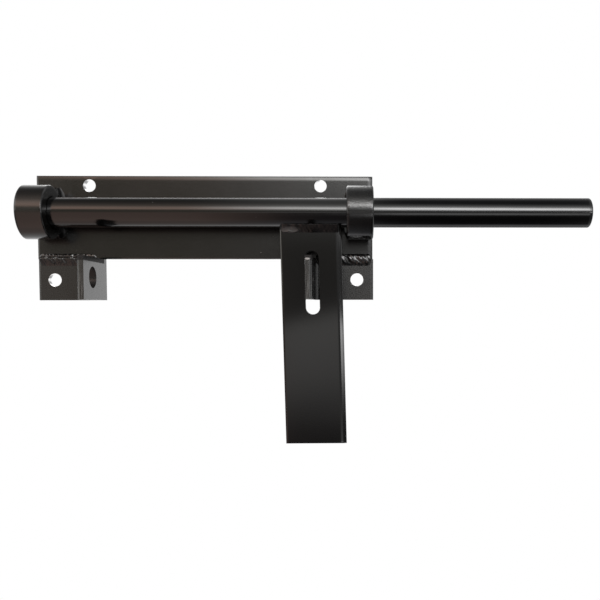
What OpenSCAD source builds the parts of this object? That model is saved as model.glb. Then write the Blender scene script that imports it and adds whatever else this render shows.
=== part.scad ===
// Bar gate latch: a round bar slides in two guide rings welded to a back plate.
// A slotted handle hangs from the bar and drops over one of two padlock ears.
// Millimetres. +X runs along the bar towards its nose, +Z is up, the front faces -Y.
// The origin is the middle of the back plate's rear face.

/* [Back plate] */
// Length of the back plate, along the bar
plate_l = 260.4; // [230:0.1:320]
// Height of the back plate
plate_h = 64.4; // [58:0.1:80]
// Thickness of the back plate
plate_t = 6.35; // [4:0.05:9]

/* [Flat bar] */
// Radius on the edges of the plate and the handle
edge_r = 1.4; // [0.3:0.1:2]

/* [Slide bar] */
// Diameter of the round bar
bar_d = 22.2; // [16:0.1:25]
// How far the bar's nose stands past the right guide ring when thrown
bar_reach = 164.8; // [100:0.1:220]
// How far the bar's tail stands past the left guide ring when thrown
bar_tail = 0.4; // [0.2:0.1:40]
// Radius ground on the rim of both bar ends
bar_end_r = 1.2; // [0.4:0.1:3]
// Height of the bar's axis above the middle of the plate
bar_rise = 1.3; // [-2:0.1:6]

/* [Guide rings] */
// Outer diameter of the two guide rings
ring_od = 40.2; // [34:0.1:48]
// Width of a guide ring along the bar
ring_w = 20; // [12:0.5:30]
// How far both guide rings stand towards the tail from flush with the plate's ends
ring_shift = 0.4; // [0:0.1:1.5]
// Chamfer on the outer rims of a guide ring
ring_chamfer = 0.7; // [0.2:0.1:1.5]
// Running gap between bar and guide ring, on the radius
bar_gap = 0.1; // [0.05:0.01:0.4]

/* [Padlock ears] */
// Length of each leg of the angle that the ears are cut from
ear_leg = 51.4; // [46:0.1:60]
// Thickness of the angle's legs
ear_t = 5; // [3:0.1:6]
// Height of an ear, along the handle
ear_h = 32; // [28:0.5:40]
// How far an ear's outer end stands past the plate's end
ear_overhang = 0.65; // [0:0.05:2]
// Fillet in the angle's root
ear_root_r = 5; // [2:0.5:8]
// Radius on the inner corner of each toe of the angle
ear_toe_r = 2.2; // [0.5:0.1:2.8]
// Diameter of the padlock hole
padlock_hole_d = 15.9; // [8:0.1:16]
// How far the padlock hole's centre stands in front of the handle's face
padlock_hole_ahead = 2.4; // [0:0.1:5]
// Distance of the padlock hole's centre below the ear's top edge
padlock_hole_drop = 15.3; // [11:0.1:18]

/* [Mounting holes] */
// Diameter of the four mounting holes
mount_hole_d = 10; // [6:0.1:11]
// Distance between the two upper mounting holes
upper_hole_spacing = 179.1; // [120:0.1:195]
// Distance of the upper holes below the plate's top edge
upper_hole_drop = 7.6; // [6.5:0.1:8]
// Distance of the lower holes from the ears' outer ends
lower_hole_inset = 13; // [8:0.1:20]
// Distance of the lower holes above the ears' bottom edge
lower_hole_rise = 15.8; // [8:0.1:18]

/* [Handle] */
// Width of the handle
handle_w = 46.1; // [30:0.1:52]
// Thickness of the handle
handle_t = 6.35; // [4:0.05:8]
// Length of the handle below the bar
handle_l = 164; // [120:0.5:220]
// Lean of the handle's sides off square, its foot towards the nose
handle_lean = 1.35; // [0:0.05:2]

/* [Handle slot] */
// Width that the slot has to spare over the ear's flange
slot_play = 6.1; // [2:0.1:10]
// Gap between the flange and the slot's tail side when thrown
slot_tail_gap = 1.5; // [0.5:0.1:1.8]
// Length of the slot above the ear
slot_above = 5; // [3.5:0.1:6]
// Length of the slot below the ear
slot_below = 11.5; // [8:0.1:20]

/* [Weld beads] */
// Distance from one ripple to the next along the ears' seams
seam_pitch = 4.3; // [2.5:0.1:5]
// Radius of the ripples along the ears' seams
seam_ripple_r = 4.8; // [4:0.1:5.5]
// Distance from one ripple to the next beside the guide rings
ring_pitch = 3; // [2:0.1:4]
// Radius of the ripples above the bar, beside the guide rings
upper_ripple_r = 5.2; // [4.5:0.1:6]
// Radius of the ripples below the bar, beside the guide rings
lower_ripple_r = 4.2; // [3.6:0.1:5]
// How far the beads run past the guide rings' inner ends
ring_overrun = 2; // [0:0.1:2.2]
// Distance from one ripple to the next under the bar, at the handle
handle_pitch = 5.6; // [3:0.1:6]
// Radius of the ripples under the bar, at the handle
handle_ripple_r = 3.6; // [3.2:0.1:4.5]

/* [Hidden] */
$fn = 96;

// Small overrun of cutting tools past the faces they cut
over = 1;
plate_end = plate_l / 2;
plate_top = plate_h / 2;
plate_foot = -plate_h / 2;
bar_r = bar_d / 2;
ring_r = ring_od / 2;
// The rings sit on the plate's face, which sets how far out the bar runs
bar_y = -plate_t - ring_r;
bar_z = bar_rise;
// Outer faces of the left and right guide rings
tail_face = -plate_end - ring_shift;
nose_face = plate_end - ring_shift;
bore_r = bar_r + bar_gap;
bore_chamfer = 0.5;
ear_foot = plate_foot - ear_h;
ear_mid = plate_foot - ear_h / 2;
ear_end = plate_end + ear_overhang;
// Outer face of the right ear's flange
heel_x = ear_end - ear_leg;
handle_face = bar_y - handle_t / 2;
padlock_y = handle_face - padlock_hole_ahead;
slot_w = ear_t + slot_play;
slot_x = heel_x - slot_tail_gap + slot_w / 2;
slot_top = plate_foot + slot_above;
slot_foot = ear_foot - slot_below;
handle_foot = bar_z - bar_r - handle_l;

plate_grey = "#2b2a2c";
bar_black = "#19191b";
handle_black = "#232120";
weld_grey = "#3a3838";

// A w by t rectangle with its four corners rounded
module rolled_section(w, t) {
    r = edge_r;
    square([w - 2 * r, t], center = true);
    square([w, t - 2 * r], center = true);
    for (side_x = [-1, 1], side_y = [-1, 1])
        translate([side_x * (w / 2 - r), side_y * (t / 2 - r)])
            circle(r);
}

module plate_blank() {
    intersection() {
        translate([-plate_end, -plate_t / 2, 0])
            rotate([90, 0, 90])
                linear_extrude(plate_l)
                    rolled_section(plate_t, plate_h);
        translate([0, -plate_t / 2, plate_foot])
            linear_extrude(plate_h)
                rolled_section(plate_l, plate_t);
    }
}

// A hole for a mounting bolt, drilled from front to back at x, z
module mount_hole(x, z) {
    translate([x, over, z])
        rotate([90, 0, 0])
            cylinder(d = mount_hole_d, h = plate_t + 2 * over);
}

module back_plate() {
    color(plate_grey)
        difference() {
            plate_blank();
            for (side = [-1, 1])
                mount_hole(side * upper_hole_spacing / 2, plate_top - upper_hole_drop);
        }
}

// Plan of the rolled angle: the heel is at the origin, the base leg runs along +X
// and the flange along -Y; the root is filleted and each toe's inner corner rounded
module angle_section() {
    difference() {
        union() {
            translate([0, -ear_t])
                square([ear_leg, ear_t]);
            translate([0, -ear_leg])
                square([ear_t, ear_leg]);
            translate([ear_t, -ear_t])
                difference() {
                    translate([0, -ear_root_r])
                        square(ear_root_r);
                    translate([ear_root_r, -ear_root_r])
                        circle(ear_root_r);
                }
        }
        toe_waste(ear_leg, -ear_t);
        toe_waste(ear_t, -ear_leg);
    }
}

// What rounding takes off a leg's inner toe corner, which is at x, y
module toe_waste(x, y) {
    translate([x - ear_toe_r, y])
        difference() {
            translate([0, -over])
                square(ear_toe_r + over);
            translate([0, ear_toe_r])
                circle(ear_toe_r);
        }
}

module ear_blank() {
    translate([heel_x, 0, ear_foot])
        linear_extrude(ear_h)
            angle_section();
}

module ear() {
    difference() {
        ear_blank();
        mount_hole(ear_end - lower_hole_inset, ear_foot + lower_hole_rise);
        translate([heel_x - over, padlock_y, plate_foot - padlock_hole_drop])
            rotate([0, 90, 0])
                cylinder(d = padlock_hole_d, h = ear_t + 2 * over);
    }
}

module right_padlock_ear() {
    color(plate_grey)
        ear();
}

module left_padlock_ear() {
    color(plate_grey)
        mirror([1, 0, 0])
            ear();
}

// A guide ring whose tail-side face stands at x
module guide_ring(x) {
    outer = ring_r;
    color(plate_grey)
        translate([x, bar_y, bar_z])
            rotate([0, 90, 0])
                rotate_extrude()
                    polygon([
                        [bore_r + bore_chamfer, 0],
                        [outer - ring_chamfer, 0],
                        [outer, ring_chamfer],
                        [outer, ring_w - ring_chamfer],
                        [outer - ring_chamfer, ring_w],
                        [bore_r + bore_chamfer, ring_w],
                        [bore_r, ring_w - bore_chamfer],
                        [bore_r, bore_chamfer]
                    ]);
}

module left_guide_ring() {
    guide_ring(tail_face);
}

module right_guide_ring() {
    guide_ring(nose_face - ring_w);
}

// Round bar along the guide rings' axis, from x0 to x1, of radius r
module round_bar(x0, x1, r) {
    translate([x0, bar_y, bar_z])
        rotate([0, 90, 0])
            cylinder(r = r, h = x1 - x0);
}

module slide_bar() {
    l = bar_tail + nose_face - tail_face + bar_reach;
    color(bar_black)
        translate([tail_face - bar_tail, bar_y, bar_z])
            rotate([0, 90, 0])
                rotate_extrude() {
                    square([bar_r - bar_end_r, l]);
                    translate([0, bar_end_r])
                        square([bar_r, l - 2 * bar_end_r]);
                    intersection() {
                        square([bar_r, l]);
                        for (y = [bar_end_r, l - bar_end_r])
                            translate([bar_r - bar_end_r, y])
                                circle(bar_end_r);
                    }
                }
}

// Sets its children on the handle's leaning centre line, at the ears' mid height
module on_handle() {
    translate([slot_x, bar_y, ear_mid])
        rotate([0, -handle_lean, 0])
            children();
}

// Side view of the handle's blank, its foot at the origin: a flat top, a rounded foot
module handle_side() {
    r = edge_r;
    translate([-handle_t / 2, r])
        square([handle_t, bar_z - handle_foot - r]);
    translate([r - handle_t / 2, 0])
        square([handle_t - 2 * r, 2 * r]);
    for (side = [-1, 1])
        translate([side * (handle_t / 2 - r), r])
            circle(r);
}

module handle_blank() {
    reach = handle_l + plate_h;
    intersection() {
        on_handle()
            translate([0, 0, -reach])
                linear_extrude(2 * reach)
                    rolled_section(handle_w, handle_t);
        translate([slot_x - reach / 2, bar_y, handle_foot])
            rotate([90, 0, 90])
                linear_extrude(reach)
                    handle_side();
    }
}

// The slot's round ends are bored and the metal between them is cut away
module handle_slot() {
    r = slot_w / 2;
    low = slot_foot + r - ear_mid;
    high = slot_top - r - ear_mid;
    on_handle()
        rotate([90, 0, 0])
            translate([0, 0, -handle_t]) {
                for (end = [low, high])
                    translate([0, end, 0])
                        cylinder(r = r, h = 2 * handle_t);
                translate([-r, low, 0])
                    cube([slot_w, high - low, 2 * handle_t]);
            }
}

// The handle's top is coped to the bar that it is welded to
module handle() {
    color(handle_black)
        difference() {
            handle_blank();
            handle_slot();
            round_bar(-plate_end, plate_end, bore_r);
        }
}

// A row of overlapping ripples about a pitch apart, from x0 to x1 at y, z, each
// swelling or shrinking a little from the next
module ripple_row(x0, x1, y, z, r, pitch) {
    count = round((x1 - x0) / pitch);
    step = (x1 - x0) / count;
    for (i = [0:count])
        translate([x0 + i * step, y, z + 0.3 * sin(i * 100)])
            rotate([0, 90, 0])
                sphere(r * (1 + 0.05 * sin(i * 140)));
}

// Bead along the seam between the plate's foot and the right ear
module ear_weld() {
    r = seam_ripple_r;
    bead_y = -ear_t + 0.8;
    bead_z = plate_foot - 0.4;
    difference() {
        ripple_row(heel_x + ear_t + ear_root_r, plate_end - 0.5 - r, bead_y, bead_z, r, seam_pitch);
        plate_blank();
        ear_blank();
        translate([heel_x, -ear_t, ear_foot])
            cube([ear_leg, 2 * r + ear_t, ear_h + plate_h / 2]);
    }
}

module right_ear_weld() {
    color(weld_grey)
        ear_weld();
}

module left_ear_weld() {
    color(weld_grey)
        mirror([1, 0, 0])
            ear_weld();
}

// Fillet between the plate and a guide ring whose outer face stands at x, towards +X.
// It is made of ripples of radius r and lies above the bar when side is 1, below it
// when side is -1, its middle at the given share of the ring's radius from the axis
module ring_weld(x, side, r, share) {
    bead_y = -plate_t - 0.6 * r;
    bead_z = bar_z + side * share * ring_r;
    difference() {
        ripple_row(x - ring_w - ring_overrun + r, min(x, plate_end) - 0.6 - r,
                   bead_y, bead_z, r, ring_pitch);
        translate([0, -plate_t, -plate_h])
            cube([plate_l, 2 * r, 2 * plate_h]);
        round_bar(0, plate_end + 2 * over, ring_r);
    }
}

module upper_ring_weld(x) {
    color(weld_grey)
        ring_weld(x, 1, upper_ripple_r, 0.85);
}

module lower_ring_weld(x) {
    color(weld_grey)
        ring_weld(x, -1, lower_ripple_r, 0.72);
}

module right_ring_upper_weld() {
    upper_ring_weld(nose_face);
}

module right_ring_lower_weld() {
    lower_ring_weld(nose_face);
}

module left_ring_upper_weld() {
    mirror([1, 0, 0])
        upper_ring_weld(-tail_face);
}

module left_ring_lower_weld() {
    mirror([1, 0, 0])
        lower_ring_weld(-tail_face);
}

// Fillet under the bar on the handle's front when side is -1, on its rear when 1
module handle_weld(side) {
    r = handle_ripple_r;
    lean_shift = (bar_z - bar_r - ear_mid) * tan(handle_lean);
    centre = slot_x - lean_shift;
    half = handle_w / 2 - r;
    bead_y = bar_y + side * (handle_t / 2 + 0.6);
    bead_z = bar_z - bar_r - 0.6;
    color(weld_grey)
        difference() {
            ripple_row(centre - half, centre + half, bead_y, bead_z, r, handle_pitch);
            translate([centre - handle_w, bar_y - handle_t / 2, bar_z - 2 * bar_r])
                cube([2 * handle_w, handle_t, 2 * bar_r]);
            translate([centre - handle_w, bar_y + (side > 0 ? -2 * r : 0), bar_z - 2 * bar_r])
                cube([2 * handle_w, 2 * r, 2 * bar_r]);
            round_bar(centre - handle_w, centre + handle_w, bore_r);
        }
}

module handle_front_weld() {
    handle_weld(-1);
}

module handle_rear_weld() {
    handle_weld(1);
}

back_plate();
left_guide_ring();
right_guide_ring();
left_padlock_ear();
right_padlock_ear();
slide_bar();
handle();
left_ear_weld();
right_ear_weld();
left_ring_upper_weld();
left_ring_lower_weld();
right_ring_upper_weld();
right_ring_lower_weld();
handle_front_weld();
handle_rear_weld();
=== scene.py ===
"""Looks of a bar gate latch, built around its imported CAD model.

Everything is in metres, in the CAD frame: +X runs along the bar to its nose, +Z is up
and the front faces -Y. The bar and the guide rings are turned again with finer facets,
the plate and the handle are rolled again with edges that fall away, and the weld beads
are laid again with their ripples. The ears keep their CAD solids and are painted here.
"""

import logging
import math
from dataclasses import dataclass
from enum import Enum

import bpy
import numpy as np
from mathutils import Matrix, Vector
from mathutils.geometry import delaunay_2d_cdt


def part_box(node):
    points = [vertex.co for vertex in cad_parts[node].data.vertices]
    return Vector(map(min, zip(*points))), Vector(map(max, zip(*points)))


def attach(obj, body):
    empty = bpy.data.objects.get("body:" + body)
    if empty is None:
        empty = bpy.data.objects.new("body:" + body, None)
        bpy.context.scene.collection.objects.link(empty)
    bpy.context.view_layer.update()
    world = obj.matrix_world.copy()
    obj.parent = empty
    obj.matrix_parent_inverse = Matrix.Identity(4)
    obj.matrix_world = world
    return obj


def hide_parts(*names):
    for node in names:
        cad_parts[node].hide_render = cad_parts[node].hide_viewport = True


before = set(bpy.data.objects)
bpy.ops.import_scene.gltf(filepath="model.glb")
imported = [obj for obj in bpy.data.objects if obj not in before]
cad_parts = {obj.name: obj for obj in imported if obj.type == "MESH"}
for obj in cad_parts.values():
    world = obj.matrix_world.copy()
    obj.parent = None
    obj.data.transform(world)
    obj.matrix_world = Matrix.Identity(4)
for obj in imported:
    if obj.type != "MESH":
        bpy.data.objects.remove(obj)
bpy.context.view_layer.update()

Material = bpy.types.Material
Piece = bpy.types.Object
Socket = bpy.types.NodeSocket
Array = np.ndarray
Pair = tuple[float, float]
Triple = tuple[float, float, float]
Places = tuple[Array, Array]

LOG = logging.getLogger("gate_latch")
MM = 0.001
MERGE = 1e-7
SLACK = 1e-6

# Places that several pieces share, read from the CAD nodes
PLATE_LOW, PLATE_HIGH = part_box("back_plate")
BAR_LOW, BAR_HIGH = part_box("slide_bar")
RING_LOW, RING_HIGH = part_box("right_guide_ring")
EAR_LOW, EAR_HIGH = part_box("right_padlock_ear")
HANDLE_LOW, HANDLE_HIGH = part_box("handle")
HANDLE_WELD_LOW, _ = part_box("handle_front_weld")
BAR_Y = (BAR_LOW.y + BAR_HIGH.y) / 2
BAR_Z = (BAR_LOW.z + BAR_HIGH.z) / 2
BAR_R = (BAR_HIGH.z - BAR_LOW.z) / 2
RING_R = (RING_HIGH.z - RING_LOW.z) / 2
EAR_T = 5 * MM
UPPER_HOLES = (89.55 * MM, PLATE_HIGH.z - 7.6 * MM)
LOWER_HOLES = (EAR_HIGH.x - 13 * MM, EAR_LOW.z + 15.8 * MM)
PADLOCK_HOLE = (EAR_LOW.y + 19.375 * MM, EAR_HIGH.z - 15.3 * MM)

# Edges that turn more than this, in degrees, stay sharp
STAGE_SHARP, TURNED_SHARP, ROLLED_SHARP, BEAD_SHARP = 30, 35, 40, 60


class Body(Enum):
    """The CAD bodies that a piece can ride on."""

    BASE = "base"
    BAR = "bar"
    HANDLE = "handle"


class Slot(Enum):
    """The record's material slots."""

    PLATE = "plate_paint"
    RING = "ring_paint"
    EAR = "ear_paint"
    BAR = "bar_paint"
    HANDLE = "handle_paint"
    WELD = "weld_paint"


class Grain(Enum):
    """Which way a surface's fine lines run."""

    NONE = (1.0, 1.0, 1.0)
    ALONG_X = (0.03, 1.0, 1.0)
    ALONG_Z = (1.0, 1.0, 0.03)


class Ripples:
    """Smooth noise made of sine waves, the same for the same seed."""

    TURNS = (0.5, 2.2)
    HEIGHTS = (0.5, 1.0)
    GAIN = 1.6

    def __init__(self, seed: int, waves: int = 7) -> None:
        """Draws the waves.

        Args:
            seed: Seed of the draw.
            waves: How many waves are added up.
        """
        draw = np.random.default_rng(seed)
        self.turns = draw.uniform(*self.TURNS, (waves, 2)) * draw.choice([-1, 1], (waves, 2))
        self.phases = draw.uniform(0, 2 * math.pi, waves)
        self.heights = draw.uniform(*self.HEIGHTS, waves) / waves * self.GAIN

    def at(self, u: Array, v: Array) -> Array:
        """Reads the noise.

        Args:
            u: First coordinates, in wave lengths.
            v: Second coordinates, in wave lengths.

        Returns:
            Heights, mostly between -1 and 1.
        """
        total = np.zeros(np.broadcast(u, v).shape)
        for (a, b), phase, height in zip(self.turns, self.phases, self.heights):
            total += height * np.sin(2 * math.pi * (a * u + b * v) + phase)
        return total


def add_mesh(name: str, points: Array, faces: list, sharp: float) -> Piece:
    """Makes a mesh object with smooth faces, in the row frame.

    Args:
        name: The object's name.
        points: Vertices, one row each, in metres.
        faces: Vertex numbers of each face.
        sharp: Edges that turn more than this, in degrees, stay sharp.

    Returns:
        The new object.
    """
    mesh = bpy.data.meshes.new(name)
    mesh.from_pydata([tuple(p) for p in points], [], faces)
    mesh.validate()
    mesh.polygons.foreach_set("use_smooth", [True] * len(mesh.polygons))
    mesh.set_sharp_from_angle(angle=math.radians(sharp))
    made = bpy.data.objects.new(name, mesh)
    bpy.context.scene.collection.objects.link(made)
    return made


def tube_faces(rows: int, around: int, closed: bool) -> list:
    """Numbers the faces of a grid of rows that closes around each row.

    Args:
        rows: Number of rows.
        around: Vertices in a row.
        closed: Whether the last row joins the first one, as in a ring. An open tube
            has a cap vertex after the grid for each end.

    Returns:
        The faces' vertex numbers.
    """
    faces = []
    for i in range(rows if closed else rows - 1):
        low, high = i * around, ((i + 1) % rows) * around
        for j in range(around):
            k = (j + 1) % around
            faces.append((low + j, low + k, high + k, high + j))
    if not closed:
        first, last, top = rows * around, rows * around + 1, (rows - 1) * around
        for j in range(around):
            k = (j + 1) % around
            faces.append((first, k, j))
            faces.append((last, top + j, top + k))
    return faces


class Graph:
    """Writes shader nodes with short calls."""

    def __init__(self, tree: bpy.types.NodeTree, coordinates: str = "") -> None:
        """Empties the tree.

        Args:
            tree: The node tree to write.
            coordinates: The texture coordinates to work in, if the graph needs any.
        """
        self.tree = tree
        tree.nodes.clear()
        if coordinates:
            self.place = self.add("ShaderNodeTexCoord").outputs[coordinates]
            self.x, self.y, self.z = self.add("ShaderNodeSeparateXYZ", {0: self.place}).outputs

    def add(self, kind: str, inputs: dict | None = None, **settings: object) -> bpy.types.Node:
        """Adds a node.

        Args:
            kind: The node's type.
            inputs: Sockets by name or number, each with a value or a socket to link.
            settings: The node's own properties.

        Returns:
            The node.
        """
        node = self.tree.nodes.new(kind)
        for key, value in settings.items():
            setattr(node, key, value)
        for key, value in (inputs or {}).items():
            if isinstance(value, Socket):
                self.tree.links.new(value, node.inputs[key])
            else:
                node.inputs[key].default_value = value
        return node

    def math(self, how: str, a: object, b: object = 0.0, clamp: bool = False) -> Socket:
        """Adds a Math node and returns its output."""
        return self.add("ShaderNodeMath", {0: a, 1: b}, operation=how, use_clamp=clamp).outputs[0]

    def times(self, a: object, b: object) -> Socket:
        """Multiplies two values."""
        return self.math("MULTIPLY", a, b)

    def plus(self, a: object, b: object) -> Socket:
        """Adds two values."""
        return self.math("ADD", a, b)

    def minus(self, a: object, b: object) -> Socket:
        """Takes the second value from the first."""
        return self.math("SUBTRACT", a, b)

    def below(self, value: Socket, limit: float) -> Socket:
        """Marks where a value is less than a limit."""
        return self.math("LESS_THAN", value, limit)

    def length(self, a: Socket, b: Socket) -> Socket:
        """Works out how far a point (a, b) is from the middle."""
        return self.math("POWER", self.plus(self.times(a, a), self.times(b, b)), 0.5)

    def spread(self, value: object, low: float, high: float, to_low: float = 0.0,
               to_high: float = 1.0) -> Socket:
        """Maps low..high smoothly onto to_low..to_high."""
        inputs = {0: value, 1: low, 2: high, 3: to_low, 4: to_high}
        return self.add("ShaderNodeMapRange", inputs, interpolation_type="SMOOTHSTEP").outputs[0]

    def mix(self, share: Socket, a: object, b: object) -> Socket:
        """Mixes two colours and returns the mix."""
        return self.add("ShaderNodeMix", {0: share, 6: a, 7: b}, data_type="RGBA").outputs[2]

    def blend(self, share: Socket, a: Socket, b: Socket) -> Socket:
        """Mixes two shaders and returns the mix."""
        return self.add("ShaderNodeMixShader", {0: share, 1: a, 2: b}).outputs[0]

    def noise(self, place: Socket, scale: float, detail: float, rough: float = 0.5) -> Socket:
        """Adds a noise texture and returns its height."""
        inputs = {"Vector": place, "Scale": scale, "Detail": detail, "Roughness": rough}
        return self.add("ShaderNodeTexNoise", inputs).outputs["Fac"]

    def stretch(self, place: Socket, by: Triple) -> Socket:
        """Scales coordinates axis by axis and returns them."""
        return self.add("ShaderNodeVectorMath", {0: place, 1: by}, operation="MULTIPLY").outputs[0]

    def bump(self, height: Socket, depth: float, normal: Socket) -> Socket:
        """Adds relief of a depth in metres to a normal."""
        inputs = {"Height": height, "Distance": depth, "Normal": normal}
        return self.add("ShaderNodeBump", inputs).outputs[0]


@dataclass(frozen=True)
class PaintedHighlight:
    """A painted highlight: a light, soft spot on the front, standing in for light caught on a weld
    bead and on a flange's top corner.
    """

    CORE = 0.32
    SQUASH = 2.6
    HIGHLIGHT_TINT = (1.0, 0.97, 0.96)

    level: float
    x: float
    z: float
    reach: float
    rear: float = 0.0

    def mask(self, g: Graph) -> Socket:
        """Marks the spot in front of its rear, with 1 in its middle."""
        far = g.length(g.minus(g.x, self.x), g.times(g.minus(g.z, self.z), self.SQUASH))
        return g.times(g.spread(far, self.reach, self.CORE * self.reach), g.below(g.y, self.rear))

    def lay(self, g: Graph, base: Socket) -> Socket:
        """Lays the painted highlight over a colour."""
        # Painted highlight: a light colour mixed into the paint where the spot lies
        light = (*(self.level * part for part in self.HIGHLIGHT_TINT), 1)
        return g.mix(self.mask(g), base, light)


@dataclass(frozen=True)
class Paint:
    """Black paint over steel, with the marks that shop work leaves in it.

    A noise is (scale, detail), and a third value is its roughness. peel, wave, scuff and
    grain_depth say how much of each DEPTH the paint has. hole is the place (x, z) of the
    right one of two bolt holes whose walls are bare, and hole_r reaches just past them.
    """

    CLOUD = (45.0, 4.0, 0.6)
    FINE = (420.0, 3.0, 0.6)
    WAVES = (22.0, 1.0)
    PEEL = (700.0, 2.0)
    DENTS = (620.0, 4.0, 0.65)
    LINES = (2200.0, 3.0, 0.7)
    WAVE_DEPTH = 1 * MM
    PEEL_DEPTH = 0.02 * MM
    DENT_DEPTH = 0.1 * MM
    LINE_DEPTH = 0.01 * MM
    DUST_DEPTH = 0.12 * MM
    DENT_FADE = (BAR_Z, BAR_Z + 4 * MM, 0.12, 1.0)
    SHADES = (0.65, 1.35)
    DUST = (0.08, 0.075, 0.07, 1)
    DUST_ROUGHNESS = 0.25
    DUST_CELLS = 210.0
    DUST_EDGE = (0.09, 0.05)
    DUST_FEW = (0.965, 0.985)
    STEEL = (0.82, 0.82, 0.82, 1)
    STEEL_ROUGHNESS = 0.3

    name: str
    colour: Triple
    roughness: float
    mottle: float = 0.05
    peel: float = 0.5
    wave: float = 0.5
    grain: Grain = Grain.NONE
    grain_depth: float = 0.0
    edge: float = 0.2 * MM
    scuff: float = 0.0
    # A painted highlight, a light spot mixed into the colour, where the piece has one
    painted_highlight: PaintedHighlight | None = None
    hole: Pair = (0.0, 0.0)
    hole_r: float = 0.0

    def build(self) -> Material:
        """Writes the paint's nodes.

        Returns:
            The material.
        """
        material = bpy.data.materials.new(self.name)
        material.use_nodes = True
        g = Graph(material.node_tree, "Object")
        cloud, fine = g.noise(g.place, *self.CLOUD), g.noise(g.place, *self.FINE)
        speck = self.dust(g)
        dark, light = ((*(share * part for part in self.colour), 1) for share in self.SHADES)
        base = g.mix(speck, g.mix(cloud, dark, light), self.DUST)
        rough = g.plus(self.roughness - self.mottle, g.times(cloud, self.mottle))
        rough = g.plus(rough, g.times(fine, self.mottle))
        rough = g.math("ADD", rough, g.times(speck, self.DUST_ROUGHNESS), clamp=True)
        inputs = {"Base Color": self.tint(g, base), "Roughness": rough,
                  "Normal": self.relief(g, speck)}
        shader = g.add("ShaderNodeBsdfPrincipled", inputs)
        g.add("ShaderNodeOutputMaterial", {"Surface": self.cover(g, shader.outputs[0])})
        return material

    def dust(self, g: Graph) -> Socket:
        """Marks a few grains of dust in the paint.

        Args:
            g: The graph to write in.

        Returns:
            A mask, 1 on a grain.
        """
        inputs = {"Vector": g.place, "Scale": self.DUST_CELLS}
        cells = g.add("ShaderNodeTexVoronoi", inputs, feature="F1")
        near = g.spread(cells.outputs["Distance"], *self.DUST_EDGE)
        chosen = g.add("ShaderNodeSeparateColor", {0: cells.outputs["Color"]}).outputs[0]
        return g.times(near, g.spread(chosen, *self.DUST_FEW))

    def tint(self, g: Graph, base: Socket) -> Socket:
        """Lays the painted highlight over the paint's colour, where there is one."""
        return self.painted_highlight.lay(g, base) if self.painted_highlight else base

    def relief(self, g: Graph, speck: Socket) -> Socket:
        """Shapes the paint: rounded arrises, waves, orange peel, dents, lines and dust.

        Args:
            g: The graph to write in.
            speck: Mask of the dust grains.

        Returns:
            The normal.
        """
        normal = g.add("ShaderNodeBevel", {"Radius": self.edge}, samples=4).outputs[0]
        normal = g.bump(g.noise(g.place, *self.WAVES), self.wave * self.WAVE_DEPTH, normal)
        normal = g.bump(g.noise(g.place, *self.PEEL), self.peel * self.PEEL_DEPTH, normal)
        if self.scuff:
            dents = g.times(g.noise(g.place, *self.DENTS), g.spread(g.z, *self.DENT_FADE))
            normal = g.bump(dents, self.scuff * self.DENT_DEPTH, normal)
        if self.grain_depth:
            lines = g.noise(g.stretch(g.place, self.grain.value), *self.LINES)
            normal = g.bump(lines, self.grain_depth * self.LINE_DEPTH, normal)
        return g.bump(speck, self.DUST_DEPTH, normal)

    def cover(self, g: Graph, surface: Socket) -> Socket:
        """Leaves bright drilled steel on the walls of the bolt holes, where there are any.

        Args:
            g: The graph to write in.
            surface: The painted shader.

        Returns:
            The shader with bare hole walls.
        """
        if not self.hole_r:
            return surface
        across = g.minus(g.math("ABSOLUTE", g.x), self.hole[0])
        far = g.length(across, g.minus(g.z, self.hole[1]))
        inputs = {"Base Color": self.STEEL, "Metallic": 1.0, "Roughness": self.STEEL_ROUGHNESS}
        steel = g.add("ShaderNodeBsdfPrincipled", inputs).outputs[0]
        return g.blend(g.below(far, self.hole_r), surface, steel)


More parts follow.
